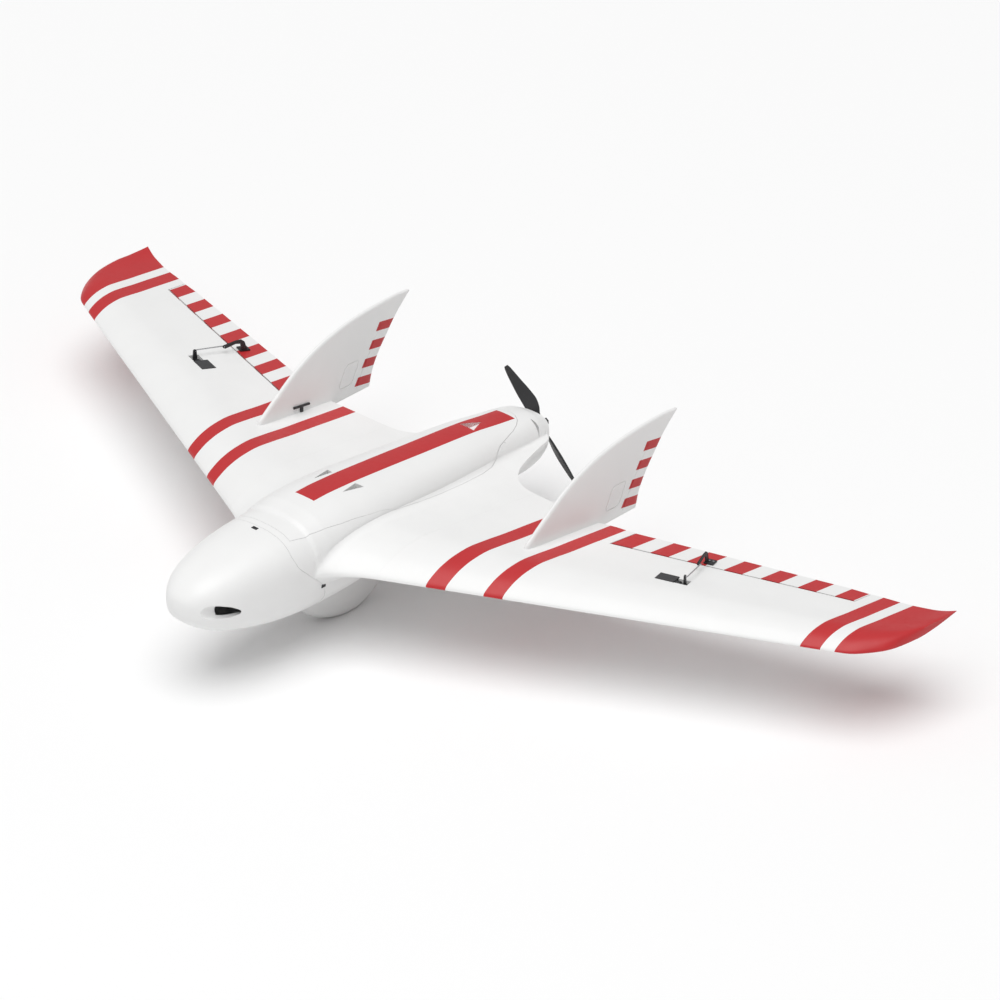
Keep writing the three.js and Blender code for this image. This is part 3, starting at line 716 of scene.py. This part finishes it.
cover_well = skin_plate("well", SERVO_S - 11.4, SERVO_S + 11.4, SERVO_N - 8.8, SERVO_N + 8.8, -1.6, 12)
case_outline = [(SERVO_N - 6.3, -6.7), (SERVO_N + 6.3, -6.7), (SERVO_N + 6.3, 9), (SERVO_N - 6.3, 9)]
case_well = hinge_prism("case", case_outline, SERVO_S - 11.3, SERVO_S + 11.3)
arm_well = hinge_prism("arm", [(ARM_N - 6.2, ARM_K - 5.2), (ARM_N + 6.2, ARM_K - 5.2), (ARM_N + 6.2, 30),
                               (ARM_N - 6.2, 30)], SERVO_S + 10.2, SERVO_S + 26)
boolean(wing, [bay, cover_well, case_well, arm_well])
crisp(wing)
fin = fin_solid()


def groove(name, line, width, closed=False):
    """Thin wall along a line drawn in (y, z), to be cut into both faces of the fin."""
    p = np.array(line, float)
    ahead = np.roll(p, -1, axis=0) - p
    back = p - np.roll(p, 1, axis=0)
    if not closed:
        ahead[-1], back[0] = back[-1], ahead[0]
    way = ahead / np.linalg.norm(ahead, axis=1)[:, None] + back / np.linalg.norm(back, axis=1)[:, None]
    way /= np.linalg.norm(way, axis=1)[:, None]
    side = np.column_stack([-way[:, 1], way[:, 0]]) * width / 2
    cuts = []
    for x0, x1 in ((FIN_X + 2.1, FIN_X + 6), (FIN_X - 6, FIN_X - 2.1)):
        corners = []
        for x in (x0, x1):
            for shift in (side, -side):
                corners.append(np.column_stack([np.full(len(p), x), p + shift]))
        n = len(p)
        points = np.concatenate(corners)
        faces = []
        for i in range(n if closed else n - 1):
            j = (i + 1) % n
            faces += [(i, j, n + j, n + i), (2 * n + i, 3 * n + i, 3 * n + j, 2 * n + j)]
            faces += [(i, 2 * n + i, 2 * n + j, j), (n + i, n + j, 3 * n + j, 3 * n + i)]
        if not closed:
            for i in (0, n - 1):
                faces.append((i, n + i, 3 * n + i, 2 * n + i))
        cut = mesh_object(name, points, faces, flat=True)
        face_out(cut)
        cuts.append(cut)
    return cuts


def rounded(center_y, center_z, wide, tall, corner, lean):
    """Rounded rectangle in (y, z) that leans aft with height."""
    points = []
    for cy, cz, start in ((1, 1, 0), (-1, 1, 90), (-1, -1, 180), (1, -1, 270)):
        for k in range(6):
            a = math.radians(start + 18 * k)
            dy = cy * (wide - corner) + corner * math.cos(a)
            dz = cz * (tall - corner) + corner * math.sin(a)
            points.append((center_y + dy + lean * dz, center_z + dz))
    return points


seam = [(261.6, -0.2), (268.5, 11.5), (276, 24), (284, 36.5), (291, 47.5), (297.8, 57.6), (303.4, 66.5)]
boolean(fin, groove("seam", seam, 0.9) + groove("pocket", rounded(251, 22, 11, 13, 5, 0.5), 0.9, closed=True))
crisp(fin, 50)

for side, sign in (("left", 1), ("right", -1)):
    for source, name, look, body_name, node in (
        (wing, "wing", foam_wing, "airframe", "wing"),
        (elevon, "elevon", foam_elevon, f"elevon_{side}", "elevon"),
        (fin, "fin", foam_fin, "airframe", "fin"),
    ):
        piece = source if side == "right" else duplicate(source, f"{name}_left_skin")
        if side == "right":
            piece = mirror(source, f"{name}_right_skin")
        dress(piece, look, body_name, [f"{node}_{side}"])
for source in (wing, elevon, fin):
    bpy.data.objects.remove(source)


# ---- keel ------------------------------------------------------------------------
def keel():
    rings = []
    levels = np.concatenate([[-52], np.linspace(-56, -105.2, 26)])
    for z in levels:
        drop = min((-50 - z) / 57.5, 1)
        spread = math.sqrt(1 - drop * drop)
        width = 4 + 14 * math.sqrt(spread)
        t = 2 * np.pi * (np.arange(96) + 0.5) / 96
        c, s = np.cos(t), np.sin(t)
        reach = np.where(c > 0, 66, 74)
        y = 36 + (reach * spread + 4) * np.sign(c) * np.abs(c) ** 0.9
        x = width * np.sign(s) * np.abs(s) ** 0.8
        rings.append(np.column_stack([x, y, np.full(96, z)]))
    return loft("keel_skin", rings)


keel_piece = keel()
crisp(keel_piece, 40)
# the keel gets the foam with painted shade, darker than the rest of the airframe
dress(keel_piece, foam_keel, "airframe", ["belly_keel"])

# ---- propeller -------------------------------------------------------------------
BLADE = np.array([
    [4, 9, 34, 0], [10, 10.5, 36, 0.5], [18, 15, 33, 2], [28, 17.6, 28, 2.6], [40, 16.6, 22, 1.8],
    [52, 13.8, 18, 0.8], [64, 10.6, 15, 0], [72, 7.6, 13, -0.4], [75, 5, 12, -0.6],
])


def blade():
    rings = []
    for r in np.concatenate([np.linspace(4, 72, 40), np.linspace(72.5, 75, 6)]):
        chord, pitch, lead = (float(smooth(BLADE[:, [0, i]], r)) for i in (1, 2, 3))
        t = 2 * np.pi * np.arange(28) / 28
        u = 0.5 * np.cos(t)
        v = 0.085 * np.sin(t) * (1 - 0.35 * np.cos(t)) + 0.04 * (1 - 4 * u * u)
        a = math.radians(pitch)
        across, thick = u * chord + lead, v * chord * 1.05
        x = across * math.cos(a) - thick * math.sin(a)
        y = across * math.sin(a) + thick * math.cos(a)
        rings.append(np.column_stack([x, y, np.full(28, r)]))
    return rings


def propeller():
    turn = math.radians(-43.5)
    blades = []
    for half in (0, math.pi):
        a = turn + half
        m = np.array([[math.cos(a), 0, math.sin(a)], [0, 1, 0], [-math.sin(a), 0, math.cos(a)]])
        blades.append(loft("blade", [ring @ m.T + [0, PROP_Y, PROP_Z] for ring in blade()]))
    profile = [(2.3, -3.5), (6.0, -3.5), (6.6, -2.9), (6.6, 2.4), (5.6, 3.5), (2.3, 3.5)]
    rings = []
    for r, y in profile:
        t = 2 * np.pi * np.arange(48) / 48
        rings.append(np.column_stack([r * np.cos(t), np.full(48, PROP_Y + y), PROP_Z + r * np.sin(t)]))
    points = np.concatenate(rings)
    faces = []
    for i in range(len(rings)):
        j = (i + 1) % len(rings)
        for k in range(48):
            faces.append((i * 48 + k, i * 48 + (k + 1) % 48, j * 48 + (k + 1) % 48, j * 48 + k))
    hub = mesh_object("propeller_skin", points, faces)
    face_out(hub)
    boolean(hub, blades, "UNION")
    return hub


prop = propeller()
crisp(prop, 45)
dress(prop, blade_look, "rotor", ["propeller"])

# ---- CAD nodes that stay, with finer edges and their own looks ----------------------
LOOKS = (
    (("servo_cover", "keel_skid"), dark),
    (("servo_case", "servo_arm", "control_horn", "horn_backplate"), black),
    (("nose_catch", "hatch_catch", "fin_clip", "motor_mount", "prop_nut", "receiver"), black),
    (("arm_screw", "horn_screw", "mount_screw", "pushrod"), steel),
    (("motor_shaft", "prop_collar", "prop_washer"), steel),
    (("motor_bell",), alloy), (("motor_stator",), copper), (("spar_tube",), carbon),
    (("equipment_tray", "equipment_shelf"), ply), (("battery_strap",), webbing), (("battery",), wrap),
    (("flight_controller", "speed_controller"), board),
)
for name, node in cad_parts.items():
    look = next((m for starts, m in LOOKS if name.startswith(starts)), None)
    if look is None:
        continue
    node.data.materials.clear()
    node.data.materials.append(look)
    size = min(node.dimensions)
    bevel = node.modifiers.new("edges", "BEVEL")
    bevel.width = min(0.0004, size * 0.12)
    bevel.segments = 2
    bevel.limit_method = "ANGLE"
    bevel.angle_limit = math.radians(40)

# ---- floor, light and camera -----------------------------------------------------
floor_mesh = bpy.data.meshes.new("floor")
floor_mesh.from_pydata([(-40, -40, 0), (40, -40, 0), (40, 40, 0), (-40, 40, 0)], [], [(0, 1, 2, 3)])
floor = bpy.data.objects.new("floor", floor_mesh)
bpy.context.scene.collection.objects.link(floor)
floor_look = bpy.data.materials.new("floor")
floor_look.use_nodes = True
floor_look.node_tree.nodes["Principled BSDF"].inputs["Base Color"].default_value = (0.93, 0.93, 0.93, 1)
floor_look.node_tree.nodes["Principled BSDF"].inputs["Roughness"].default_value = 0.9
floor_mesh.materials.append(floor_look)

world = bpy.data.worlds.new("studio")
bpy.context.scene.world = world
world.use_nodes = True
world.node_tree.nodes["Background"].inputs["Color"].default_value = (1, 1, 1, 1)
world.node_tree.nodes["Background"].inputs["Strength"].default_value = 0.4


def area(name, at, size, power):
    data = bpy.data.lights.new(name, "AREA")
    data.shape = "DISK"
    data.size = size
    data.energy = power
    light = bpy.data.objects.new(name, data)
    light.location = at
    light.rotation_mode = "QUATERNION"
    light.rotation_quaternion = (Vector((0, 0, 0.08)) - Vector(at)).to_track_quat("-Z", "Y")
    bpy.context.scene.collection.objects.link(light)


sun_data = bpy.data.lights.new("sky", "SUN")
sun_data.energy = 2.0
sun_data.angle = math.radians(55)
sun = bpy.data.objects.new("sky", sun_data)
sun.rotation_mode = "QUATERNION"
sun.rotation_quaternion = Vector((-0.1, 0.22, -1.0)).to_track_quat("-Z", "Y")
bpy.context.scene.collection.objects.link(sun)
area("key", (0.8, -2.4, 2.6), 1.6, 8)

camera_data = bpy.data.cameras.new("camera")
camera_data.lens = 270
camera_data.sensor_width = 36
camera_data.clip_end = 100
camera = bpy.data.objects.new("camera", camera_data)
right = Vector((0.73191, 0.6814, 0.0))
down = Vector((0.33717, -0.36218, -0.86899))
forward = Vector((-0.59213, 0.63602, -0.49483))
camera.matrix_world = Matrix((
    (right.x, -down.x, -forward.x, 4.90391),
    (right.y, -down.y, -forward.y, (-4981.94 - ORIGIN_Y) * 0.001),
    (right.z, -down.z, -forward.z, (4022.33 - KEEL_BOTTOM) * 0.001),
    (0, 0, 0, 1),
))
bpy.context.scene.collection.objects.link(camera)
bpy.context.scene.camera = camera
bpy.context.scene.view_settings.view_transform = "Standard"
